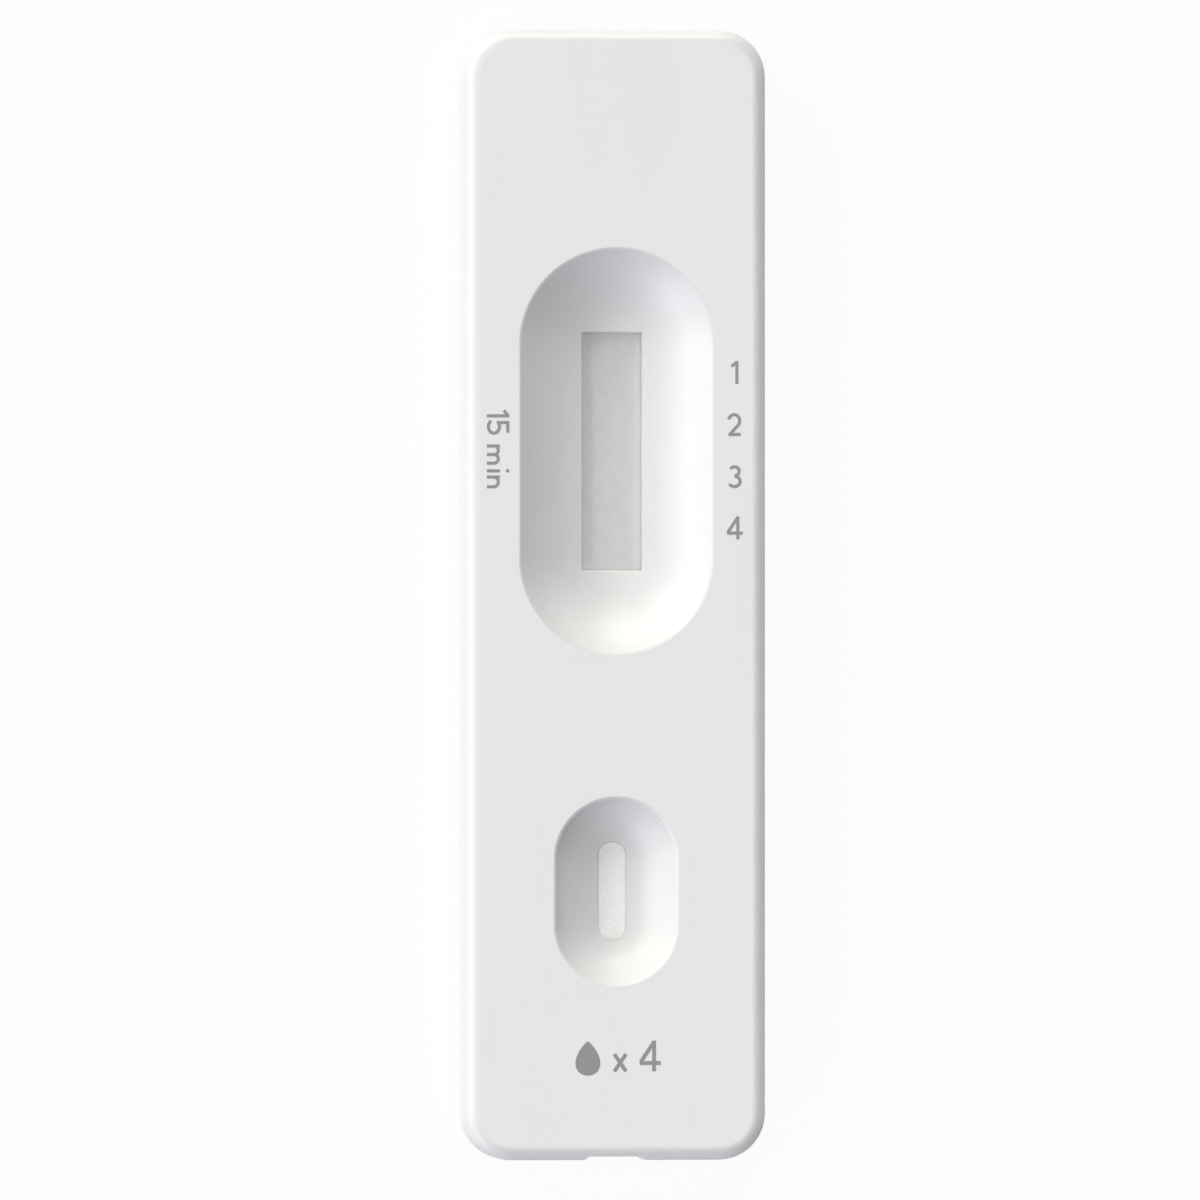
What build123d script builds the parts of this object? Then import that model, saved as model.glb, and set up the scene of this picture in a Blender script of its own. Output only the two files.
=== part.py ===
from build123d import *
import os
from typing import NamedTuple

# A lateral flow test cassette: two press-fit mouldings closed round a paper test strip.
# X runs across the width, +Y points at the result end and +Z out of the printed face.
# The origin is the centre of the underside.

os.makedirs("parts", exist_ok=True)

# Test strip: lengths along Y, laps where one layer lies on the next, and thicknesses
strip_width = 5.0
sample_pad_margin = 2.0
conjugate_pad_length = 10.3
membrane_margin = 1.1
absorbent_pad_length = 12.0
sample_lap = 2.0
conjugate_lap = 1.8
absorbent_lap = 1.6
pad_ramp = 0.5
card_thickness = 0.25
membrane_thickness = 0.15
sample_pad_thickness = 0.5
conjugate_pad_thickness = 0.35
absorbent_pad_thickness = 0.7
pad_swell = 0.3
swell_bevel = 0.12
swell_fit = 0.04

# Wells and the openings in their floors
result_well_width = 12.8
result_well_length = 26.9
result_well_depth = 2.95
window_width = 4.0
window_overreach = 0.85
window_lip = 0.3
sample_well_width = 8.1
sample_well_length = 12.35
slot_width = 1.84
slot_overreach = 0.255
slot_lip = 0.25
rim_radius = 0.25
opening_edge_bevel = 0.08
overcut = 1.0

# Outside of the housing
side_land = 3.6
grip_space = 9.65
far_space = 3.0
corner_radius = 3.1
lower_height = 2.3
top_edge_radius = 0.9
bottom_bevel = 0.45
parting_bevel = 0.12
notch_width = 4.1
notch_depth = 0.24
notch_taper = 0.25

# Walls of the mouldings
wall = 1.2
floor_thickness = 1.0
plate_thickness = 1.0
dish_wall = 0.8
inner_bevel = 0.3

# Posts, sockets and the locating rim
post_radius = 0.7
post_fit = 0.05
post_end_space = 0.2
boss_wall = 0.55
boss_gap = 0.05
socket_roof = 1.1
post_side_inset = 1.75
post_end_inset = 6.5
locating_rim_height = 0.5
locating_rim_thickness = 0.45
locating_rim_fit = 0.05
locating_rim_end_space = 0.1

# Strip channel, its cross ribs and side fins, and the bars that press on the pads
rib_height = 0.25
rib_thickness = 0.8
rib_pitch = 6.0
channel_wall = 0.8
channel_height = 0.65
strip_side_fit = 0.15
strip_end_fit = 0.2
fin_length = 2.0
fin_height = 0.75
fin_end_inset = 3.0
bar_thickness = 0.8
far_bar_pitch = 4.5
pad_gap = 0.05
membrane_gap = 0.1

# Stations along Y, from the grip end to the far end
sample_pad_length = sample_well_length + 2 * sample_pad_margin
membrane_length = result_well_length + 2 * membrane_margin
laps = sample_lap + conjugate_lap + absorbent_lap
strip_length = (
    sample_pad_length + conjugate_pad_length + membrane_length + absorbent_pad_length - laps
)
body_length = grip_space + strip_length + far_space
body_width = result_well_width + 2 * side_land
strip_start = -body_length / 2 + grip_space
strip_end = strip_start + strip_length
sample_pad_end = strip_start + sample_pad_length
conjugate_pad_start = sample_pad_end - sample_lap
conjugate_pad_end = conjugate_pad_start + conjugate_pad_length
membrane_start = conjugate_pad_end - conjugate_lap
membrane_end = membrane_start + membrane_length
absorbent_pad_start = membrane_end - absorbent_lap
sample_centre = (strip_start + sample_pad_end) / 2
result_centre = (membrane_start + membrane_end) / 2
between_wells = (
    sample_centre + sample_well_length / 2 + result_centre - result_well_length / 2
) / 2

# Levels along Z, from the underside to the printed face
card_bottom = floor_thickness + rib_height
card_top = card_bottom + card_thickness
membrane_top = card_top + membrane_thickness
sample_pad_top = card_top + sample_pad_thickness
conjugate_pad_top = card_top + conjugate_pad_thickness
absorbent_pad_top = card_top + absorbent_pad_thickness
channel_top = floor_thickness + channel_height
window_underside = membrane_top + membrane_gap
result_floor = window_underside + window_lip
body_height = result_floor + result_well_depth
slot_underside = sample_pad_top + pad_gap
sample_floor = slot_underside + slot_lip
plate_underside = body_height - plate_thickness
socket_top = body_height - socket_roof
post_top = socket_top - post_end_space

# Openings in the floors: each passes the centres of its well's round ends by an overreach
window_length = result_well_length - result_well_width + 2 * window_overreach
slot_length = sample_well_length - sample_well_width + slot_width + 2 * slot_overreach

# Places of the posts, in pairs along the sides
boss_radius = post_radius + post_fit + boss_wall
post_x = body_width / 2 - wall - post_side_inset
post_rows = (
    -body_length / 2 + post_end_inset,
    between_wells,
    result_centre,
    body_length / 2 - post_end_inset,
)
post_places = [(side * post_x, row) for row in post_rows for side in (-1, 1)]


class Well(NamedTuple):
    """A scoop let into the printed face: a lying capsule's underside, with a stadium-shaped rim."""

    centre: float
    width: float
    length: float
    floor: float

    @property
    def depth(self):
        """From the printed face down to the lowest line of the scoop."""
        return body_height - self.floor

    @property
    def half_straight(self):
        """Half the length of the straight middle, between the centres of the round ends."""
        return (self.length - self.width) / 2

    @property
    def radius(self):
        """Radius of the scoop, from its width at the face and its depth."""
        return ((self.width / 2) ** 2 + self.depth**2) / (2 * self.depth)


result_well = Well(result_centre, result_well_width, result_well_length, result_floor)
sample_well = Well(sample_centre, sample_well_width, sample_well_length, sample_floor)


def outline(inset):
    """The housing's plan, drawn in from the outside on every side."""
    with BuildSketch() as plan:
        RectangleRounded(
            body_width - 2 * inset, body_length - 2 * inset, corner_radius - inset
        )
    return plan.sketch


def scoop(well, added_wall, low, lid):
    """A solid scoop, thicker by added_wall, from low to lid above the well's lowest line.

    The straight middle is a run of the section, and each round end is the half section
    turned about its own axis.
    """
    with BuildSketch() as half_section:
        with Locations((0, well.floor + well.radius)):
            Circle(well.radius + added_wall)
        with Locations((0, well.floor + low)):
            Rectangle(well.width, lid - low, align=(Align.MIN, Align.MIN), mode=Mode.INTERSECT)
    ends = [well.centre - well.half_straight, well.centre + well.half_straight]
    across = [Plane(origin=(0, y, 0), x_dir=(1, 0, 0), z_dir=(0, -1, 0)) for y in ends]
    with BuildPart() as solid:
        with BuildSketch(across[1]):
            add(half_section.sketch)
            mirror(about=Plane.YZ)
        extrude(amount=2 * well.half_straight)
        for plane, turn in zip(across, (-180, 180)):
            with BuildSketch(plane):
                add(half_section.sketch)
            revolve(axis=Axis(plane.origin, (0, 0, 1)), revolution_arc=turn)
    return solid.part


def hollow(well):
    """The space of a well, open above the face."""
    return scoop(well, 0, -overcut, well.depth + overcut)


def shell(well, lip):
    """The wall under a well, flat below its lip and sunk halfway into the top plate."""
    return scoop(well, dish_wall, -lip, well.depth - plate_thickness / 2)


def upper_edges(cut_edges):
    """Of the edges that a cut through a floor leaves, the ones round its mouth."""
    level = cut_edges.filter_by(Axis.Z, reverse=True)
    lowest = level.sort_by(Axis.Z)[0].center().Z
    return [edge for edge in level if edge.center().Z > lowest + opening_edge_bevel]


def gate_notch():
    """The shallow tapered recess across the grip end, through the whole height."""
    mouth = notch_width / 2
    with BuildPart() as cutter:
        with BuildSketch():
            with BuildLine():
                Polyline(
                    (-mouth, -body_length / 2),
                    (-mouth + notch_taper, -body_length / 2 + notch_depth),
                    (mouth - notch_taper, -body_length / 2 + notch_depth),
                    (mouth, -body_length / 2),
                    (mouth, -body_length / 2 - overcut),
                    (-mouth, -body_length / 2 - overcut),
                    close=True,
                )
            make_face()
        extrude(amount=body_height)
    return cutter.part


result_hollow = hollow(result_well)
sample_hollow = hollow(sample_well)
result_shell = shell(result_well, window_lip)
sample_shell = shell(sample_well, slot_lip)
end_notch = gate_notch()

# Upper moulding: a plate with side walls, two dished wells, sockets and pressure bars
with BuildPart() as top_housing:
    with BuildSketch(Plane.XY.offset(lower_height)):
        add(outline(0))
    extrude(amount=body_height - lower_height)
    fillet(top_housing.edges().group_by(Axis.Z)[-1], top_edge_radius)
    chamfer(top_housing.edges().group_by(Axis.Z)[0], parting_bevel)

    # Inside of the moulding, with a rebate for the locating rim
    with BuildSketch(Plane.XY.offset(lower_height)):
        add(outline(wall))
    extrude(amount=plate_underside - lower_height, mode=Mode.SUBTRACT)
    ceiling = top_housing.faces().filter_by(Axis.Z).group_by(Axis.Z)[-2]
    chamfer(ceiling.edges(), inner_bevel)
    add(result_shell)
    add(sample_shell)

    # Bosses for the posts
    with BuildSketch(Plane.XY.offset(lower_height + boss_gap)):
        with Locations(*post_places):
            Circle(boss_radius)
    extrude(amount=plate_underside - lower_height - boss_gap)

    # Bars that hold the laps of the pads together, each down to the pad under it
    bars = [
        (conjugate_pad_start + sample_lap / 2, conjugate_pad_top + sample_pad_thickness),
        (between_wells, conjugate_pad_top),
        (strip_end - absorbent_pad_length / 2 + bar_thickness, absorbent_pad_top),
        (strip_end - absorbent_pad_length / 2 + far_bar_pitch, absorbent_pad_top),
    ]
    for station, pad_top in bars:
        with BuildSketch(Plane.XY.offset(pad_top + pad_gap)):
            with Locations((0, station)):
                Rectangle(strip_width, bar_thickness)
        extrude(amount=plate_underside - pad_top - pad_gap)

    # Wells with softly rounded rims
    add(result_hollow, mode=Mode.SUBTRACT)
    add(sample_hollow, mode=Mode.SUBTRACT)
    printed_face = top_housing.faces().sort_by(Axis.Z)[-1]
    fillet([rim.edges() for rim in printed_face.inner_wires()], rim_radius)

    # Window and slot, each with its upper edge broken
    with BuildSketch(Plane.XY.offset(window_underside)):
        with Locations((0, result_centre)):
            Rectangle(window_width, window_length)
    extrude(amount=window_lip + overcut, mode=Mode.SUBTRACT)
    chamfer(upper_edges(top_housing.edges(Select.LAST)), opening_edge_bevel)
    with BuildSketch(Plane.XY.offset(slot_underside)):
        with Locations((0, sample_centre)):
            SlotOverall(slot_length, slot_width, rotation=90)
    extrude(amount=slot_lip + overcut, mode=Mode.SUBTRACT)
    chamfer(upper_edges(top_housing.edges(Select.LAST)), opening_edge_bevel)

    # Six-sided sockets that grip round posts, the rebate and the end notch
    with BuildSketch(Plane.XY.offset(lower_height + boss_gap)):
        with Locations(*post_places):
            RegularPolygon(post_radius + post_fit, 6, major_radius=False)
    extrude(amount=socket_top - lower_height - boss_gap, mode=Mode.SUBTRACT)
    with BuildSketch(Plane.XY.offset(lower_height)):
        add(outline(wall - locating_rim_thickness - locating_rim_fit))
        add(outline(wall), mode=Mode.SUBTRACT)
    extrude(amount=locating_rim_height + locating_rim_end_space, mode=Mode.SUBTRACT)
    add(end_notch, mode=Mode.SUBTRACT)

top_housing.part.label = "top_housing"
export_step(top_housing.part, "parts/top_housing.step")

# Lower moulding: a tray with posts, a locating rim and the channel for the strip
with BuildPart() as bottom_housing:
    with BuildSketch():
        add(outline(0))
    extrude(amount=lower_height)
    chamfer(bottom_housing.edges().group_by(Axis.Z)[0], bottom_bevel)
    chamfer(bottom_housing.edges().group_by(Axis.Z)[-1], parting_bevel)
    with BuildSketch(Plane.XY.offset(floor_thickness)):
        add(outline(wall))
    extrude(amount=lower_height - floor_thickness, mode=Mode.SUBTRACT)
    with BuildSketch(Plane.XY.offset(lower_height)):
        add(outline(wall - locating_rim_thickness))
        add(outline(wall), mode=Mode.SUBTRACT)
    extrude(amount=locating_rim_height)

    # Posts
    with BuildSketch(Plane.XY.offset(floor_thickness)):
        with Locations(*post_places):
            Circle(post_radius)
    extrude(amount=post_top - floor_thickness)

    # Channel: a frame round the strip, cross ribs under it and fins beside the pads
    channel_width = strip_width + 2 * strip_side_fit
    channel_length = strip_length + 2 * strip_end_fit
    strip_middle = (strip_start + strip_end) / 2
    with BuildSketch(Plane.XY.offset(floor_thickness)):
        with Locations((0, strip_middle)):
            Rectangle(channel_width + 2 * channel_wall, channel_length + 2 * channel_wall)
            Rectangle(channel_width, channel_length, mode=Mode.SUBTRACT)
    extrude(amount=channel_height)
    rib_count = int(strip_length // rib_pitch)
    with BuildSketch(Plane.XY.offset(floor_thickness)):
        with Locations((0, strip_middle)):
            with GridLocations(0, rib_pitch, 1, rib_count):
                Rectangle(channel_width, rib_thickness)
    extrude(amount=rib_height)
    fin_x = (channel_width + channel_wall) / 2
    fin_rows = (strip_start + fin_end_inset, between_wells, strip_end - fin_end_inset)
    fin_places = [(side * fin_x, row) for row in fin_rows for side in (-1, 1)]
    with BuildSketch(Plane.XY.offset(channel_top)):
        with Locations(*fin_places):
            Rectangle(channel_wall, fin_length)
    extrude(amount=fin_height)
    add(end_notch, mode=Mode.SUBTRACT)

bottom_housing.part.label = "bottom_housing"
export_step(bottom_housing.part, "parts/bottom_housing.step")

# Backing card, on the ribs of the channel
with BuildPart() as backing_card:
    with BuildSketch(Plane.XY.offset(card_bottom)):
        with Locations((0, (strip_start + strip_end) / 2)):
            Rectangle(strip_width, strip_length)
    extrude(amount=card_thickness)

backing_card.part.label = "backing_card"
export_step(backing_card.part, "parts/backing_card.step")

# Membrane, on the card under the result window
with BuildPart() as membrane:
    with BuildSketch(Plane.XY.offset(card_top)):
        with Locations((0, result_centre)):
            Rectangle(strip_width, membrane_length)
    extrude(amount=membrane_thickness)

membrane.part.label = "membrane"
export_step(membrane.part, "parts/membrane.step")


def layer(underside, thickness):
    """A pad of even thickness across the strip, whose underside follows (y, z) points."""
    raised = [(y, z + thickness) for y, z in reversed(underside)]
    with BuildPart() as pad:
        with BuildSketch(Plane.YZ):
            with BuildLine():
                Polyline(*underside, *raised, close=True)
            make_face()
        extrude(amount=strip_width / 2, both=True)
    return pad


# Conjugate pad, lapped over the start of the membrane
conjugate_pad = layer(
    [
        (conjugate_pad_start, card_top),
        (membrane_start - pad_ramp, card_top),
        (membrane_start, membrane_top),
        (conjugate_pad_end, membrane_top),
    ],
    conjugate_pad_thickness,
)
conjugate_pad.part.label = "conjugate_pad"
export_step(conjugate_pad.part, "parts/conjugate_pad.step")

# Sample pad, lapped over the conjugate pad, which swells up into the slot
sample_layer = layer(
    [
        (strip_start, card_top),
        (conjugate_pad_start - pad_ramp, card_top),
        (conjugate_pad_start, conjugate_pad_top),
        (sample_pad_end, conjugate_pad_top),
    ],
    sample_pad_thickness,
)
with BuildPart() as sample_pad:
    add(sample_layer.part)
    with BuildSketch(Plane.XY.offset(sample_pad_top)):
        with Locations((0, sample_centre)):
            SlotOverall(slot_length - 2 * swell_fit, slot_width - 2 * swell_fit, rotation=90)
    extrude(amount=pad_swell)
    chamfer(sample_pad.edges(Select.LAST).group_by(Axis.Z)[-1], swell_bevel)

sample_pad.part.label = "sample_pad"
export_step(sample_pad.part, "parts/sample_pad.step")

# Absorbent pad, lapped over the end of the membrane
absorbent_pad = layer(
    [
        (absorbent_pad_start, membrane_top),
        (membrane_end, membrane_top),
        (membrane_end + pad_ramp, card_top),
        (strip_end, card_top),
    ],
    absorbent_pad_thickness,
)
absorbent_pad.part.label = "absorbent_pad"
export_step(absorbent_pad.part, "parts/absorbent_pad.step")
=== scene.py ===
# %% [markdown]
# A lateral flow cassette, dressed for its picture. The real thing is a slim white case of two moulded
# halves with a paper test strip between them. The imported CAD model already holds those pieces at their
# true size, so nothing is moved here. This script gives each piece its finish, prints the small grey
# marks on the face, and then sets up a pale floor, soft lamps and a camera above.

# %% Load the frame
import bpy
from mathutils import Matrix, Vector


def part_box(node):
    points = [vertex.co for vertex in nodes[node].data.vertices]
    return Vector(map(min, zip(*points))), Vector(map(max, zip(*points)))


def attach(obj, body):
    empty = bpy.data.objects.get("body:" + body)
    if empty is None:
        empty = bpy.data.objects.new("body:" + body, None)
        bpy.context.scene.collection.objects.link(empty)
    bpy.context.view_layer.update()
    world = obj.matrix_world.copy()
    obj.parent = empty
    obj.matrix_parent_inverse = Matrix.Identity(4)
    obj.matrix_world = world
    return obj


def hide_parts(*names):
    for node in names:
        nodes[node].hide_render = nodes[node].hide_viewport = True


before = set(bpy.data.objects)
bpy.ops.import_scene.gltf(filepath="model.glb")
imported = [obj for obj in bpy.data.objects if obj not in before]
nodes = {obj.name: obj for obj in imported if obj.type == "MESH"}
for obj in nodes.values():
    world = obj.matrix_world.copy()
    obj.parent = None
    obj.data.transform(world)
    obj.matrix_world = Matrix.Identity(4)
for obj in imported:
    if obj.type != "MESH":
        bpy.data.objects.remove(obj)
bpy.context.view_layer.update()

# %% [markdown]
# Blender counts in metres and the cassette is drawn in millimetres, so every size below is a number of
# millimetres times MM. The height of the printed face is read from the frame rather than typed in: if
# the case is ever made thicker, the print follows it up.

# %% Units and landmarks
from math import cos, radians, sin

import bmesh
import bpy
import numpy as np
from mathutils import Matrix, Vector

MM = 0.001
face_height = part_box("top_housing")[1][2]
print("Printed face at", round(face_height / MM, 3), "mm above the table")


# %% [markdown]
# Every finish below is a node tree. Three small helpers keep the trees short to read: one makes a node
# and fills its sockets, one joins two nodes, and one starts a material with its shader. A number that is
# the same all over a piece is set on the shader's own socket, where an exporter can find it.

# %% Helpers for node trees
def add_node(tree, kind, values=None, **properties):
    """A node of this kind: properties are its settings, values fill its input sockets by name."""
    node = tree.nodes.new(kind)
    for name, value in properties.items():
        setattr(node, name, value)
    for socket, value in (values or {}).items():
        node.inputs[socket].default_value = value
    return node


def join(tree, source, output, target, socket):
    """A link from one node's output to another node's input."""
    tree.links.new(source.outputs[output], target.inputs[socket])


def new_material(name, values):
    """A material with a Principled shader whose plain numbers are set on its own sockets."""
    material = bpy.data.materials.new(name)
    material.use_nodes = True
    shader = material.node_tree.nodes["Principled BSDF"]
    for socket, value in values.items():
        shader.inputs[socket].default_value = value
    return material, material.node_tree, shader


# %% [markdown]
# An effect that several finishes share is built once as a node group, like a tool kept in a drawer. A
# group has named sockets, so that each material can place it with values of its own.

# %% Helpers for node groups
def new_group(name, inputs, outputs):
    """An empty shader group. Inputs are names with first values, outputs are names with a kind."""
    group = bpy.data.node_groups.new(name, "ShaderNodeTree")
    for socket_name, value in inputs.items():
        kind = "NodeSocketColor" if isinstance(value, tuple) else "NodeSocketFloat"
        socket = group.interface.new_socket(socket_name, in_out="INPUT", socket_type=kind)
        socket.default_value = value
    for socket_name, kind in outputs.items():
        group.interface.new_socket(socket_name, in_out="OUTPUT", socket_type=kind)
    return group, group.nodes.new("NodeGroupInput"), group.nodes.new("NodeGroupOutput")


def place_group(tree, group, values):
    """The group as one node in a tree, with its input sockets set by name."""
    node = tree.nodes.new("ShaderNodeGroup")
    node.node_tree = group
    for socket, value in values.items():
        node.inputs[socket].default_value = value
    return node


def per_metre(group, entry, socket):
    """Turns a group input that counts grains per millimetre into a texture scale per metre."""
    scale = add_node(group, "ShaderNodeMath", {1: 1 / MM}, operation="MULTIPLY")
    join(group, entry, socket, scale, 0)
    return scale


# %% [markdown]
# No real white is one flat number. Resin, card and paper all drift a little in tone from place to place,
# over patches of a few millimetres. The first group multiplies a colour by a slow noise that swings by
# a chosen amount above and below one.

# %% Group: tone drift
tone_drift, entry, result = new_group(
    "tone_drift",
    {"Color": (0.8, 0.8, 0.8, 1.0), "Patches per mm": 0.1, "Amount": 0.01},
    {"Color": "NodeSocketColor"},
)
place = add_node(tone_drift, "ShaderNodeTexCoord")
scale = per_metre(tone_drift, entry, "Patches per mm")
noise = add_node(tone_drift, "ShaderNodeTexNoise", {"Detail": 2.0, "Roughness": 0.5})
centred = add_node(tone_drift, "ShaderNodeMath", {1: 0.5}, operation="SUBTRACT")
swing = add_node(tone_drift, "ShaderNodeMath", operation="MULTIPLY")
doubled = add_node(tone_drift, "ShaderNodeMath", {1: 2.0, 2: 1.0}, operation="MULTIPLY_ADD")
tint = add_node(tone_drift, "ShaderNodeMix", {"Factor": 1.0}, data_type="RGBA", blend_type="MULTIPLY")
join(tone_drift, place, "Object", noise, "Vector")
join(tone_drift, scale, 0, noise, "Scale")
join(tone_drift, noise, 0, centred, 0)
join(tone_drift, centred, 0, swing, 0)
join(tone_drift, entry, "Amount", swing, 1)
join(tone_drift, swing, 0, doubled, 0)
tone_drift.links.new(entry.outputs["Color"], tint.inputs[6])
tone_drift.links.new(doubled.outputs[0], tint.inputs[7])
tone_drift.links.new(tint.outputs[2], result.inputs["Color"])

# %% [markdown]
# The second group is the skin of a moulded face. A steel mould is spark finished, and leaves a very fine
# pebble in the plastic. On top of that the melt runs in from one end and leaves faint long streaks,
# which do not change the colour but do change how sharply the surface shines. The streaks come from a
# noise squeezed across the case and drawn out along it.

# %% Group: moulded skin
moulded_skin, entry, result = new_group(
    "moulded_skin",
    {"Pebbles per mm": 5.0, "Streaks per mm": 0.35, "Roughness": 0.36, "Spread": 0.06},
    {"Height": "NodeSocketFloat", "Roughness": "NodeSocketFloat"},
)
place = add_node(moulded_skin, "ShaderNodeTexCoord")
pebble_scale = per_metre(moulded_skin, entry, "Pebbles per mm")
pebbles = add_node(moulded_skin, "ShaderNodeTexNoise", {"Detail": 3.0, "Roughness": 0.55})
drawn_out = add_node(moulded_skin, "ShaderNodeMapping", {"Scale": (1.0, 0.12, 1.0)})
streak_scale = per_metre(moulded_skin, entry, "Streaks per mm")
streaks = add_node(moulded_skin, "ShaderNodeTexNoise", {"Detail": 3.0, "Distortion": 0.4})
centred = add_node(moulded_skin, "ShaderNodeMath", {1: 0.5}, operation="SUBTRACT")
spread = add_node(moulded_skin, "ShaderNodeMath", operation="MULTIPLY")
shine = add_node(moulded_skin, "ShaderNodeMath", operation="ADD")
join(moulded_skin, place, "Object", pebbles, "Vector")
join(moulded_skin, pebble_scale, 0, pebbles, "Scale")
join(moulded_skin, pebbles, 0, result, "Height")
join(moulded_skin, place, "Object", drawn_out, "Vector")
join(moulded_skin, drawn_out, 0, streaks, "Vector")
join(moulded_skin, streak_scale, 0, streaks, "Scale")
join(moulded_skin, streaks, 0, centred, 0)
join(moulded_skin, centred, 0, spread, 0)
join(moulded_skin, entry, "Spread", spread, 1)
join(moulded_skin, spread, 0, shine, 0)
join(moulded_skin, entry, "Roughness", shine, 1)
join(moulded_skin, shine, 0, result, "Roughness")

# %% [markdown]
# The pads of the strip are mats of short fibres, pressed but not woven. One family of fibres is a noise
# stretched along one direction, of which only the middle values are kept: they form thin wandering
# lines. Three families laid across each other, of which the highest wins at each point, look like felt.

# %% Group: fibre mat
fibre_mat, entry, result = new_group(
    "fibre_mat",
    {"Fibres per mm": 3.0, "Sharpness": 7.0},
    {"Fibres": "NodeSocketFloat"},
)
place = add_node(fibre_mat, "ShaderNodeTexCoord")
scale = per_metre(fibre_mat, entry, "Fibres per mm")
fibre_slenderness = 0.4
layer_turns = (12, 74, 131)
highest = None
for turn in layer_turns:
    laid = add_node(
        fibre_mat,
        "ShaderNodeMapping",
        {"Rotation": (0.0, 0.0, radians(turn)), "Scale": (1.0, fibre_slenderness, 1.0)},
    )
    lines = add_node(fibre_mat, "ShaderNodeTexNoise", {"Detail": 1.5, "Distortion": 0.6})
    middle = add_node(fibre_mat, "ShaderNodeMath", {1: 0.5}, operation="SUBTRACT")
    away = add_node(fibre_mat, "ShaderNodeMath", operation="ABSOLUTE")
    fall = add_node(fibre_mat, "ShaderNodeMath", operation="MULTIPLY")
    ridge = add_node(fibre_mat, "ShaderNodeMath", {0: 1.0}, operation="SUBTRACT", use_clamp=True)
    join(fibre_mat, place, "Object", laid, "Vector")
    join(fibre_mat, laid, 0, lines, "Vector")
    join(fibre_mat, scale, 0, lines, "Scale")
    join(fibre_mat, lines, 0, middle, 0)
    join(fibre_mat, middle, 0, away, 0)
    join(fibre_mat, away, 0, fall, 0)
    join(fibre_mat, entry, "Sharpness", fall, 1)
    join(fibre_mat, fall, 0, ridge, 1)
    if highest is None:
        highest = ridge
        continue
    over = add_node(fibre_mat, "ShaderNodeMath", operation="MAXIMUM")
    join(fibre_mat, highest, 0, over, 0)
    join(fibre_mat, ridge, 0, over, 1)
    highest = over
join(fibre_mat, highest, 0, result, "Fibres")
print("Node groups:", [group.name for group in bpy.data.node_groups])


# %% [markdown]
# A CAD node keeps its mesh and only gets a new material, so its slots are emptied and the finish is put
# in. Six of the seven pieces are dressed like this. The seventh is the sample pad, which comes later.

# %% Dressing a CAD node
def dress(node_name, material):
    """Gives a carried-over CAD node this material and no other."""
    slots = nodes[node_name].data.materials
    slots.clear()
    slots.append(material)
    print(node_name, "wears", material.name)


# %% [markdown]
# Any face mirrors more light as the eye comes down to it. The lamps here stand low, and their mirror
# image would turn the whole face pure white in a low view. So the shine is faded out at flat angles. That
# is a choice for the picture: real satin plastic would keep part of it. Facing goes from 0, seen square
# on, to 1, seen along the surface.

# %% Less glare at a flat angle
fade_start = 0.37
fade_end = 0.58


def fade_glare(tree, shader, level):
    """Specular level: the given level up to the facing fade_start, then evenly down to 0 at fade_end."""
    facing = add_node(tree, "ShaderNodeLayerWeight", {"Blend": 0.5})
    fade = add_node(tree, "ShaderNodeMapRange", {
        "From Min": fade_start, "From Max": fade_end, "To Min": level, "To Max": 0.0
    })
    join(tree, facing, "Facing", fade, "Value")
    join(tree, fade, 0, shader, "Specular IOR Level")


# %% [markdown]
# The case is taken to be white polystyrene. It shines softly: sharp enough for a pale gleam where a well
# turns up towards the lamps, dull enough that nothing is mirrored in it. So the roughness is a little
# above a third. The pebble is only a few micrometres high. Both halves use one recipe, and the lower
# one, which slides over tables, is slightly duller.

# %% Finish: moulded white plastic
def moulded_white(name, roughness):
    """White satin resin: tone drift in the colour, streaks in the shine, a pebble in the normal."""
    material, tree, shader = new_material(name, {})
    fade_glare(tree, shader, level=0.5)
    tone = place_group(
        tree, tone_drift, {"Color": (0.73, 0.73, 0.73, 1.0), "Patches per mm": 0.06, "Amount": 0.012}
    )
    skin = place_group(tree, moulded_skin, {"Roughness": roughness})
    bump = add_node(tree, "ShaderNodeBump", {"Strength": 0.35, "Distance": 0.004 * MM})
    join(tree, tone, "Color", shader, "Base Color")
    join(tree, skin, "Roughness", shader, "Roughness")
    join(tree, skin, "Height", bump, "Height")
    join(tree, bump, "Normal", shader, "Normal")
    return material


dress("top_housing", moulded_white("moulded_white_upper", roughness=0.36))
dress("bottom_housing", moulded_white("moulded_white_lower", roughness=0.42))

# %% [markdown]
# The membrane, taken to be nitrocellulose, is seen through the long window. It is cast like a skin of
# dried foam: matt, a touch greyer than the case, with pores too small to see one by one. A fine noise
# gives it its grain, and a second, slower one the faint clouds that such a sheet always has.

# %% Finish: membrane
material, tree, shader = new_material("cast_membrane", {"Roughness": 0.85, "Specular IOR Level": 0.25})
tone = place_group(
    tree, tone_drift, {"Color": (0.675, 0.675, 0.675, 1.0), "Patches per mm": 1.1, "Amount": 0.05}
)
grain = place_group(tree, tone_drift, {"Patches per mm": 9.0, "Amount": 0.10})
place = add_node(tree, "ShaderNodeTexCoord")
pores = add_node(tree, "ShaderNodeTexNoise", {"Scale": 12 / MM, "Detail": 3.0, "Roughness": 0.6})
bump = add_node(tree, "ShaderNodeBump", {"Strength": 0.5, "Distance": 0.01 * MM})
join(tree, tone, "Color", grain, "Color")
join(tree, grain, "Color", shader, "Base Color")
join(tree, place, "Object", pores, "Vector")
join(tree, pores, 0, bump, "Height")
join(tree, bump, "Normal", shader, "Normal")
dress("membrane", material)


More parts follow.
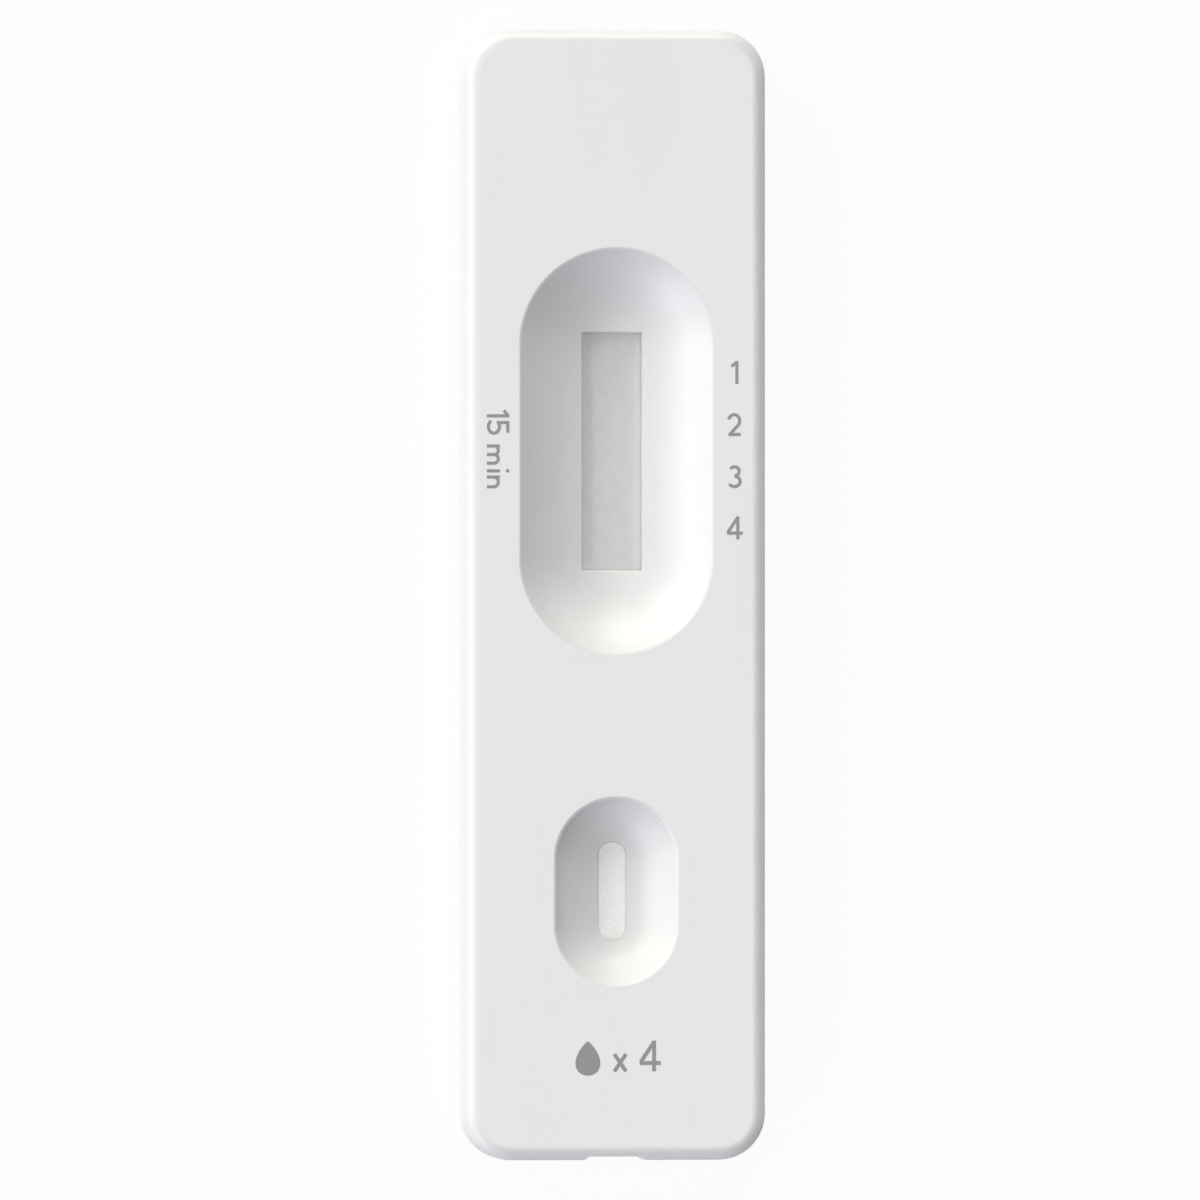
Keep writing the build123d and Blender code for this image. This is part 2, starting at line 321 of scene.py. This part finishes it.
# %% [markdown]
# The three pads are felts. Only one shows, so their fibres are a guess from how such strips are made:
# cellulose under the drop slot, tinted glass fibre where the dried reagent waits, and thick blotting
# paper at the far end. One recipe serves them all. Between the fibres the colour is darker: this is
# painted shade in the gaps, where light gets lost. So the fibre mask both lifts the normal and lightens
# the colour from that painted shade to the fibre's own colour. The two pads that lie shut inside the case
# are dressed here.

# %% Finish: pads
def felt(name, fibre_colour, shaded_gap_colour, fibres_per_mm, lift, gloss=0.2):
    """A pressed mat: the fibre mask mixes from the painted shade of the gaps to the fibre colour and raises
    the surface.
    """
    material, tree, shader = new_material(name, {"Roughness": 0.8, "Specular IOR Level": gloss})
    mat = place_group(tree, fibre_mat, {"Fibres per mm": fibres_per_mm})
    mix = add_node(tree, "ShaderNodeMix", data_type="RGBA")
    # Painted shade: the gaps between fibres get a darker colour that stands in for their shade.
    mix.inputs[6].default_value = shaded_gap_colour
    mix.inputs[7].default_value = fibre_colour
    tone = place_group(tree, tone_drift, {"Patches per mm": 0.8, "Amount": 0.04})
    bump = add_node(tree, "ShaderNodeBump", {"Strength": 0.6, "Distance": lift})
    join(tree, mat, "Fibres", mix, "Factor")
    tree.links.new(mix.outputs[2], tone.inputs["Color"])
    join(tree, tone, "Color", shader, "Base Color")
    join(tree, mat, "Fibres", bump, "Height")
    join(tree, bump, "Normal", shader, "Normal")
    return material


# The second colour of each felt is the painted shade of its gaps between fibres.
dress("conjugate_pad", felt(
    "tinted_glass_felt", (0.66, 0.46, 0.52, 1.0), (0.46, 0.26, 0.32, 1.0), fibres_per_mm=3.4, lift=0.03 * MM
))
dress("absorbent_pad", felt(
    "blotting_paper", (0.86, 0.86, 0.84, 1.0), (0.66, 0.66, 0.64, 1.0), fibres_per_mm=1.8, lift=0.06 * MM
))

# %% [markdown]
# The sample pad is the soft piece that shows, as a small tongue of felt in the drop slot, so it gets a
# surface of its own. Real felt is pressed into the slot from below: it is flat where the case holds it
# down, stands up in a low dome where the slot sets it free, and its top is uneven from fibre to fibre.
# The surface is made of rings. The first lies on the slot's middle line, the next ones grow to the
# slot's wall, then they drop to the pad's top, spread to its edge, and close underneath. The relief of
# the fibres is a sum of many cosine waves. Their directions come from a seeded generator, so the felt is
# the same in every run.

# %% [markdown]
# The measures hang on the box of the CAD pad. Along the case, the slot's middle is a fixed way in from
# the pad's near end. Upwards, the pad is half a millimetre thick where it is held. At its far end it
# climbs over the pad below it, which is the lap.

# %% Sample pad: measures
pad_low, pad_high = (np.array(corner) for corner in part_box("sample_pad"))
slot_middle = pad_low[1] + 8.175 * MM
slot_reach = 3.3 * MM
slot_half_width = 0.92 * MM
slot_clearance = 0.005 * MM
held_level = pad_low[2] + 0.5 * MM
dome_foot = 0.31 * MM
dome_rise = 0.09 * MM
relief_height = 0.02 * MM
top_round = 0.05 * MM
foot_round = 0.02 * MM
lap_start = pad_high[1] - 2.55 * MM
lap_ramp = 0.5 * MM
lap_rise = 0.35 * MM
print("Slot middle at y =", round(slot_middle / MM, 3), "mm")
print("Pad held at z =", round(held_level / MM, 3), "mm")


# %% Sample pad: surface
def slot_outline(straight_steps, arc_steps):
    """Walks once round the slot. Gives, for each step, the nearest point of the slot's middle line
    and the outward direction there, so that middle + r times direction is the outline at radius r."""
    half = slot_reach - slot_half_width
    rise = np.linspace(-half, half, straight_steps, endpoint=False)
    turn = np.linspace(0, np.pi, arc_steps, endpoint=False)
    middle = np.concatenate([rise, np.full(arc_steps, half), -rise, np.full(arc_steps, -half)])
    angle = np.concatenate([np.zeros(straight_steps), turn, np.full(straight_steps, np.pi), turn + np.pi])
    outward = np.column_stack([np.cos(angle), np.sin(angle)])
    return np.column_stack([np.zeros(len(middle)), middle + slot_middle]), outward


def fibre_relief(place, waves=110, shortest=0.13 * MM, longest=0.45 * MM):
    """Sum of cos(k . p + phase) over waves of random direction and length, scaled to about -1 to 1."""
    random = np.random.default_rng(11)
    length = random.uniform(shortest, longest, waves)
    heading = random.uniform(0, 2 * np.pi, waves)
    phase = random.uniform(0, 2 * np.pi, waves)
    step = np.stack([np.cos(heading), np.sin(heading)]) * 2 * np.pi / length
    return np.cos(place @ step + phase).sum(axis=-1) / np.sqrt(waves)


def to_pad_edge(middle, outward, inset):
    """Where a ray from the middle line along the outward direction meets the pad's outline, inset."""
    low, high = pad_low[:2] + inset, pad_high[:2] - inset
    wall = np.where(outward > 0, high, low)
    with np.errstate(divide="ignore", invalid="ignore"):
        reach = np.where(np.abs(outward) > 1e-6, (wall - middle) / outward, np.inf)
    return middle + outward * reach.min(axis=1)[:, None]


def lap_lift(y):
    """Nought over the strip's card, the height of the layer below it at the far end, a ramp between."""
    return lap_rise * np.clip((y - lap_start) / lap_ramp, 0, 1)


def sample_pad_surface(dome_rings=22, flat_rings=26):
    """All rings as one array (ring, step, xyz). The dome's height at radius r is
    foot + rise times the square root of 1 - (r/R)^4. The relief is added to it and dies away over
    the last sixth of R, where the slot's wall holds the fibres."""
    middle, outward = slot_outline(straight_steps=96, arc_steps=58)
    full = slot_half_width - slot_clearance
    share = np.linspace(0, 1, dome_rings)[:, None]
    dome = middle + share[..., None] * full * outward
    swell = dome_foot + dome_rise * np.sqrt(1 - share**4)
    fade = np.clip((1 - share) * 6, 0, 1)
    relief = relief_height * fade * fibre_relief(dome)
    rings = [np.dstack([dome, held_level + swell + relief])]

    spread = np.linspace(0, 1, flat_rings)[:, None, None]
    upper = dome[-1] + spread * (to_pad_edge(middle, outward, top_round) - dome[-1])
    rings.append(np.dstack([upper, held_level + lap_lift(upper[..., 1])]))
    edge = to_pad_edge(middle, outward, 0.0)
    for level in (held_level - top_round, pad_low[2] + foot_round):
        rings.append(np.column_stack([edge, level + lap_lift(edge[:, 1])])[None])
    lower = middle + spread[::-1] * (to_pad_edge(middle, outward, foot_round) - middle)
    rings.append(np.dstack([lower, pad_low[2] + lap_lift(lower[..., 1])]))
    return np.concatenate(rings)


def mesh_from_rings(name, rings, merge_distance=1e-4 * MM):
    """A closed mesh: neighbouring rings are joined by quads all the way round, and the points that
    coincide on the first and the last ring are merged."""
    count, steps = rings.shape[:2]
    corner = np.arange(count * steps).reshape(count, steps)
    after = np.roll(corner, -1, axis=1)
    quads = np.stack([corner[:-1], corner[1:], after[1:], after[:-1]], axis=2).reshape(-1, 4)
    mesh = bpy.data.meshes.new(name)
    mesh.from_pydata(rings.reshape(-1, 3).tolist(), [], quads.tolist())
    work = bmesh.new()
    work.from_mesh(mesh)
    bmesh.ops.remove_doubles(work, verts=work.verts, dist=merge_distance)
    work.to_mesh(mesh)
    work.free()
    mesh.polygons.foreach_set("use_smooth", np.ones(len(mesh.polygons), bool))
    mesh.update()
    return mesh


mesh = mesh_from_rings("sample_pad_felt", sample_pad_surface())
# The second colour is the painted shade between the fibres.
mesh.materials.append(felt(
    "sample_felt",
    (0.98, 0.98, 0.975, 1.0),
    (0.94, 0.94, 0.94, 1.0),
    fibres_per_mm=4.5,
    lift=relief_height,
    gloss=0.5,
))
sample_pad = bpy.data.objects.new("sample_pad_felt", mesh)
bpy.context.scene.collection.objects.link(sample_pad)
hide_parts("sample_pad")
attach(sample_pad, "root")
print("sample_pad_felt:", len(mesh.vertices), "vertices,", len(mesh.polygons), "faces")

# %% [markdown]
# Under the strip lies its backing card, a thin sheet of white plastic with a smooth rolled face. It
# shows a hint of long roller lines, for which the moulded skin serves again with other numbers.

# %% Finish: backing card
material, tree, shader = new_material("rolled_card", {"Specular IOR Level": 0.4})
tone = place_group(
    tree, tone_drift, {"Color": (0.8, 0.8, 0.79, 1.0), "Patches per mm": 0.2, "Amount": 0.02}
)
rolled = place_group(
    tree, moulded_skin, {"Pebbles per mm": 8.0, "Streaks per mm": 1.5, "Roughness": 0.5, "Spread": 0.1}
)
bump = add_node(tree, "ShaderNodeBump", {"Strength": 0.3, "Distance": 0.004 * MM})
join(tree, tone, "Color", shader, "Base Color")
join(tree, rolled, "Roughness", shader, "Roughness")
join(tree, rolled, "Height", bump, "Height")
join(tree, bump, "Normal", shader, "Normal")
dress("backing_card", material)

# %% [markdown]
# The marks are pad printed: a rubber pad presses a film of grey ink, about a hundredth of a millimetre
# thick, onto the face. Printing from a plate gives strokes of one even width. So each mark is made here
# as a person draws it, as a few strokes of a round or flat line, and each stroke is a thin closed slab
# of ink. Letters and figures are drawn in a box one unit high and scaled to size afterwards.

# %% Lines and arcs
def line(start, end, steps=2):
    """Rows (x, y, share of the pen's width): start + t (end - start) for t from 0 to 1, share 1."""
    t = np.linspace(0, 1, steps)[:, None]
    return np.column_stack([np.array(start) + t * (np.array(end) - np.array(start)), np.ones(steps)])


def arc(centre, radii, start, stop, steps=28):
    """Rows on an ellipse, centre + (rx cos a, ry sin a) for a from start to stop degrees, share 1."""
    angle = np.radians(np.linspace(start, stop, steps))
    points = np.array(centre) + np.column_stack([np.cos(angle), np.sin(angle)]) * np.array(radii)
    return np.column_stack([points, np.ones(steps)])


def dot(centre, size, pen, steps=17, tip=0.02):
    """A round dot, drawn upwards, as rows: the height is centre - cos a times the radius and the
    width is sin a times the size, for a from tip to pi - tip, so that neither end is a bare point."""
    angle = np.linspace(tip, np.pi - tip, steps)
    height = centre[1] - np.cos(angle) * size / 2
    return np.column_stack([np.full(steps, centre[0]), height, np.sin(angle) * size / pen])


def slab_from_stroke(path, width, low, high):
    """A rectangle carried along a path. Each point p of the path has a tangent t and a side normal
    n, t turned a quarter to the left, and the corners are p plus or minus n times half the width,
    at the low and the high level. Returns vertices and faces of one closed shell."""
    tangent = np.gradient(path, axis=0)
    tangent /= np.linalg.norm(tangent, axis=1)[:, None]
    side = np.column_stack([-tangent[:, 1], tangent[:, 0]]) * width[:, None] / 2
    count = len(path)
    flat = [path - side, path - side, path + side, path + side]
    level = [low, high, high, low]
    ring = np.stack([np.column_stack([edge, np.full(count, z)]) for edge, z in zip(flat, level)], axis=1)
    corner = np.arange(count * 4).reshape(count, 4)
    here, onward = corner[:-1], corner[1:]
    walls = np.stack([here, onward, np.roll(onward, -1, axis=1), np.roll(here, -1, axis=1)], axis=2)
    return ring.reshape(-1, 3), np.vstack([walls.reshape(-1, 4), corner[0], corner[-1][::-1]])


# %% [markdown]
# Next come the shapes themselves. The strokes run along the middle of the ink, so a figure of height
# one with ink of width w has its lowest line at w/2 and its highest at 1 - w/2. The window has four
# places where a line may appear, and they are simply numbered from the top.

# %% Figures and letters
ink = 0.14
base = ink / 2
top = 1 - ink / 2
x_height = 0.58
arch = x_height - ink / 2


def lower_arch(left, right):
    """The shoulder of n or m: a half ellipse between two stems, then straight down to the line."""
    middle, radius = (left + right) / 2, (right - left) / 2
    return np.vstack([
        arc((middle, arch - radius), (radius, radius), 165, 0, 20),
        line((right, arch - radius), (right, 0), 4)[1:],
    ])


glyphs = {
    "1": [line((0.27, 0), (0.27, 1)), line((0.03, 0.76), (0.27, 0.95))],
    "2": [
        np.vstack([arc((0.29, 0.66), (0.24, 0.27), 168, -38, 30), line((0.45, 0.46), (0.1, base), 8)]),
        line((0.04, base), (0.58, base)),
    ],
    "3": [
        arc((0.27, 0.735), (0.2, 0.195), 150, -90, 30),
        arc((0.26, 0.295), (0.25, 0.225), 90, -152, 36),
    ],
    "4": [line((0.5, 0), (0.5, 1)), line((0.5, 0.96), (0.06, 0.3)), line((0.03, 0.27), (0.72, 0.27))],
    "5": [
        line((0.08, top), (0.55, top)),
        line((0.1, 1), (0.1, 0.44)),
        arc((0.28, 0.315), (0.29, 0.245), 135, -150, 40),
    ],
    "m": [
        line((0.07, 0), (0.07, x_height)),
        lower_arch(0.07, 0.45),
        lower_arch(0.45, 0.83),
    ],
    "i": [line((0.07, 0), (0.07, x_height)), dot((0.07, 0.92), 0.165, ink)],
    "n": [line((0.07, 0), (0.07, x_height)), lower_arch(0.07, 0.5)],
    "x": [line((0.1, 0), (0.78, 1)), line((0.78, 0), (0.1, 1))],
}
print("Drawn:", " ".join(glyphs))


# %% [markdown]
# A mark is one piece made of all its strokes. Where two strokes cross, the second lies a thousandth of a
# millimetre above the first, as wet ink does, so that no two surfaces share a plane. A mark can be
# turned: the waiting time reads from top to bottom along the left edge.

# %% Laying ink on the face
ink_thickness = 0.012 * MM
ink_step = 0.001 * MM


def mesh_piece(name, vertices, faces, material):
    """A mesh object at the origin, unturned and unscaled, that rides on the cassette's one body."""
    mesh = bpy.data.meshes.new(name)
    mesh.from_pydata(vertices.tolist(), [], faces)
    mesh.validate()
    mesh.materials.append(material)
    piece = bpy.data.objects.new(name, mesh)
    bpy.context.scene.collection.objects.link(piece)
    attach(piece, "root")
    print(name, len(mesh.vertices), "vertices from", (vertices.min(axis=0) / MM).round(2), "mm")


def printed_mark(name, letters, height, stroke, material, turn=0):
    """Letters as one piece: each is (glyph, x, y) with x and y of its lower left corner in metres.
    A stroke's points are scaled by the height, turned about that corner, and moved to it."""
    all_vertices, all_faces, laid = [], [], 0
    spin = np.array([(cos(turn), sin(turn)), (-sin(turn), cos(turn))])
    for glyph, x, y in letters:
        for number, path in enumerate(glyphs[glyph]):
            centre_line = path[:, :2] * height @ spin + (x, y)
            high = face_height + ink_thickness + number * ink_step
            vertices, faces = slab_from_stroke(centre_line, path[:, 2] * stroke, face_height, high)
            all_vertices.append(vertices)
            all_faces.append(faces + laid)
            laid += len(vertices)
    mesh_piece(name, np.vstack(all_vertices), np.vstack(all_faces).tolist(), material)


# %% [markdown]
# Pad ink is matt and takes on the grain of the plastic below it. Its grey is set a little darker than
# it looks, since the satin gleam of the lamps lies over it.

# %% Finish: ink
ink_finish, tree, shader = new_material("pad_ink", {})
fade_glare(tree, shader, level=0.4)
tone = place_group(
    tree, tone_drift, {"Color": (0.25, 0.254, 0.266, 1.0), "Patches per mm": 2.5, "Amount": 0.06}
)
grain = place_group(tree, moulded_skin, {"Pebbles per mm": 9.0, "Roughness": 0.5, "Spread": 0.08})
bump = add_node(tree, "ShaderNodeBump", {"Strength": 0.3, "Distance": 0.004 * MM})
join(tree, tone, "Color", shader, "Base Color")
join(tree, grain, "Roughness", shader, "Roughness")
join(tree, grain, "Height", bump, "Height")
join(tree, bump, "Normal", shader, "Normal")

# %% [markdown]
# The four numbers stand to the right of the result window, one for each place where a line may come
# up. They share a middle line, and each sits by half its own width to the left of it.

# %% Print: line numbers
small_stroke = 0.21 * MM
number_height = 1.53 * MM
number_middle = 7.88 * MM
number_rows = (14.79, 11.33, 7.87, 4.47)
number_widths = {"1": 0.34, "2": 0.62, "3": 0.54, "4": 0.72}
column = [
    (figure, number_middle - number_widths[figure] / 2 * number_height, row * MM - number_height / 2)
    for figure, row in zip("1234", number_rows)
]
printed_mark("line_numbers", column, number_height, stroke=small_stroke, material=ink_finish)

# %% [markdown]
# The waiting time runs down the left side. Its letters are placed one by one along the reading
# direction, because the gap after a narrow letter is not the gap after a wide one.

# %% Print: waiting time
time_height = 1.5 * MM
time_baseline = -8.66 * MM
time_start = 12.3
time_letters = {"1": 0.0, "5": 0.7, "m": 2.3, "i": 3.95, "n": 4.36}
column = [
    (letter, time_baseline, (time_start - along) * MM) for letter, along in time_letters.items()
]
printed_mark("waiting_time", column, time_height, small_stroke, ink_finish, turn=radians(-90))

# %% [markdown]
# Below the sample well a drop, a cross and a figure say how many drops to give. The drop is a filled
# shape, so it is worked out on a grid: rings that grow from the middle out to the outline.

# %% Print: drop sign
def drop_outline(angle, width, height):
    """A drop: y is height/2 times cos a, so the tip is on top at a = 0. x follows sin a times
    sin(a/2) to the power 0.8, scaled to width/2 at its widest, so the belly hangs low."""
    x = np.sin(angle) * np.sin(angle / 2) ** 0.8
    y = np.cos(angle)
    return np.column_stack([x / np.abs(x).max() * width / 2, y * height / 2])


def drop_sign(name, centre, width, height, material, steps=96, rings=6, sag=0.12):
    """A closed slab: the top is the outline scaled by r from 0 to 1 about the belly's middle, which
    sags below the drop's own, the bottom is the same grid one ink thickness lower, and a wall
    joins their outer rings."""
    outline = drop_outline(np.linspace(0, 2 * np.pi, steps, endpoint=False), width, height)
    belly = np.array([0, -height * sag])
    share = np.linspace(0, 1, rings + 1)[1:, None, None]
    flat = (belly + share * (outline - belly)).reshape(-1, 2)
    flat = np.vstack([belly, flat]) + centre
    levels = (face_height, face_height + ink_thickness)
    vertices = np.vstack([np.column_stack([flat, np.full(len(flat), z)]) for z in levels])
    around = np.arange(steps)
    after = (around + 1) % steps
    ring = 1 + steps * np.arange(rings)[:, None]
    fan = np.column_stack([np.zeros(steps, int), ring[0] + after, ring[0] + around])
    inner, outer = ring[:-1], ring[1:]
    band = np.stack([inner + around, inner + after, outer + after, outer + around], axis=2).reshape(-1, 4)
    rim = ring[-1]
    lift = len(flat)
    wall = np.column_stack([rim + after, rim + around, rim + around + lift, rim + after + lift])
    lower = fan[:, ::-1].tolist() + band[:, ::-1].tolist()
    upper = (fan + lift).tolist() + (band + lift).tolist()
    mesh_piece(name, vertices, lower + upper + wall.tolist(), material)


drop_centre = (-1.92 * MM, -30.73 * MM)
drop_sign("drop_sign", drop_centre, width=1.66 * MM, height=2.29 * MM, material=ink_finish)

# %% Print: number of drops
count_base = -31.6 * MM
cross = [("x", -0.27 * MM, count_base)]
figure = [("4", 1.48 * MM, count_base)]
printed_mark("drop_count_cross", cross, height=1.15 * MM, stroke=0.25 * MM, material=ink_finish)
printed_mark("drop_count_figure", figure, height=2.04 * MM, stroke=0.26 * MM, material=ink_finish)

# %% [markdown]
# The floor is a pale sheet. For the camera it is nearly white by itself, and only about a twentieth of
# it takes light as paper does, so that the case still leaves a faint shadow. For the light that bounces
# up into the case it is an ordinary pale sheet. It lies a hair below the case, because two faces in one
# plane flicker, and its lower side is clear, so that the case can be looked at from below.

# %% Floor
def seen_directly(tree):
    """One for camera, glossy and transmission rays, nought for the rest."""
    path = add_node(tree, "ShaderNodeLightPath")
    first = add_node(tree, "ShaderNodeMath", operation="MAXIMUM")
    second = add_node(tree, "ShaderNodeMath", operation="MAXIMUM")
    join(tree, path, "Is Camera Ray", first, 0)
    join(tree, path, "Is Glossy Ray", first, 1)
    join(tree, first, 0, second, 0)
    join(tree, path, "Is Transmission Ray", second, 1)
    return second


floor_half = 600 * MM
floor_level = -0.01 * MM
glow_share = 0.94
mesh = bpy.data.meshes.new("floor")
sheet = np.array([(-1, -1, 0), (1, -1, 0), (1, 1, 0), (-1, 1, 0)], float) * floor_half
sheet[:, 2] = floor_level
mesh.from_pydata(sheet.tolist(), [], [(0, 1, 2, 3)])
floor = bpy.data.objects.new("floor", mesh)
bpy.context.scene.collection.objects.link(floor)
material, tree, paper = new_material("pale_floor", {"Roughness": 0.9, "Base Color": (0.9, 0.9, 0.9, 1.0)})
glow = add_node(tree, "ShaderNodeEmission", {"Color": (0.99, 0.99, 0.985, 1.0), "Strength": 1.0})
blend = add_node(tree, "ShaderNodeMixShader")
share = add_node(tree, "ShaderNodeMath", {1: glow_share}, operation="MULTIPLY")
join(tree, seen_directly(tree), 0, share, 0)
join(tree, share, 0, blend, 0)
join(tree, paper, 0, blend, 1)
join(tree, glow, 0, blend, 2)
side = add_node(tree, "ShaderNodeNewGeometry")
clear = add_node(tree, "ShaderNodeBsdfTransparent")
one_sided = add_node(tree, "ShaderNodeMixShader")
join(tree, side, "Backfacing", one_sided, 0)
join(tree, blend, 0, one_sided, 1)
join(tree, clear, 0, one_sided, 2)
join(tree, one_sided, 0, tree.nodes["Material Output"], "Surface")
mesh.materials.append(material)

# %% [markdown]
# The world is white where it is seen, and almost dark as a lamp, so that the wells keep their shading.

# %% World
world = bpy.data.worlds.new("studio")
bpy.context.scene.world = world
world.use_nodes = True
tree = world.node_tree
sky = tree.nodes["Background"]
sky.inputs["Color"].default_value = (1, 1, 1, 1)
glow_level = add_node(tree, "ShaderNodeMapRange", {"To Min": 0.05, "To Max": 1.0})
join(tree, seen_directly(tree), 0, glow_level, "Value")
join(tree, glow_level, 0, sky, "Strength")


# %% [markdown]
# The light is that of a large studio: soft lamps all round the head and the left of the case, a little
# above its face, and one overhead. They stand low, so the wall of a well that faces away from them is
# in shade while the opposite wall and its rim are bright. The lamp overhead is white, the one at the
# lower left is cool and the others are slightly warm, which tints the shades but leaves the face white.
# The wider a lamp looks in the sky, the softer its shade: these are as wide as 35 degrees.

# %% Lamps
def soft_sun(name, azimuth, elevation, strength, colour=(1, 1, 1), spread=35):
    """A distant soft lamp: azimuth is the side it stands on, 0 for +X and 90 for +Y."""
    lamp = bpy.data.lights.new(name, "SUN")
    lamp.angle = radians(spread)
    lamp.energy = strength
    lamp.color = colour
    rig = bpy.data.objects.new(name, lamp)
    bpy.context.scene.collection.objects.link(rig)
    towards = Vector((
        cos(radians(elevation)) * cos(radians(azimuth)),
        cos(radians(elevation)) * sin(radians(azimuth)),
        sin(radians(elevation)),
    ))
    rig.rotation_euler = towards.to_track_quat("Z", "Y").to_euler()


warm = (1.0, 0.98, 0.94)
straw = (1.0, 0.99, 0.87)
cool = (0.79, 0.83, 1.0)
low = 22
soft_sun("overhead", azimuth=0, elevation=90, strength=1.1)
soft_sun("head", azimuth=90, elevation=low, strength=1.35, colour=warm)
soft_sun("upper_left", azimuth=135, elevation=low, strength=1.23, colour=warm)
soft_sun("left", azimuth=180, elevation=low, strength=0.89, colour=straw)
soft_sun("lower_left", azimuth=225, elevation=low, strength=1.17, colour=cool)
soft_sun("upper_right", azimuth=45, elevation=10, strength=0.34, colour=warm)

# %% [markdown]
# The camera is far above with a long lens, so that both ends of the case look equally wide, and it
# leans a few degrees to the right, which is why a sliver of the right side wall shows. Its own axes are
# written out, and the lens follows from how many pixels a millimetre takes in the picture. It aims a
# little left of the case's middle and a little below it, as the case sits a little off the middle.

# %% Camera
pixels_per_mm = 15.02
picture_pixels = 1200
tilt = radians(6.2)
distance = 1500 * MM
aim_right = -0.561 * MM
aim_up = -0.32 * MM
right = Vector((cos(tilt), 0, sin(tilt)))
up = Vector((0, 1, 0))
back = right.cross(up)
aim = right * aim_right + up * aim_up
camera_data = bpy.data.cameras.new("camera")
camera_data.sensor_width = 36
half_view = picture_pixels / pixels_per_mm / 2 * MM
camera_data.lens = camera_data.sensor_width / 2 * distance / half_view
camera = bpy.data.objects.new("camera", camera_data)
bpy.context.scene.collection.objects.link(camera)
axes = Matrix((right, up, back)).transposed().to_4x4()
camera.matrix_world = Matrix.Translation(aim + back * distance) @ axes
bpy.context.scene.camera = camera
bpy.context.scene.view_settings.view_transform = "Standard"
print("Lens:", round(camera_data.lens), "mm")
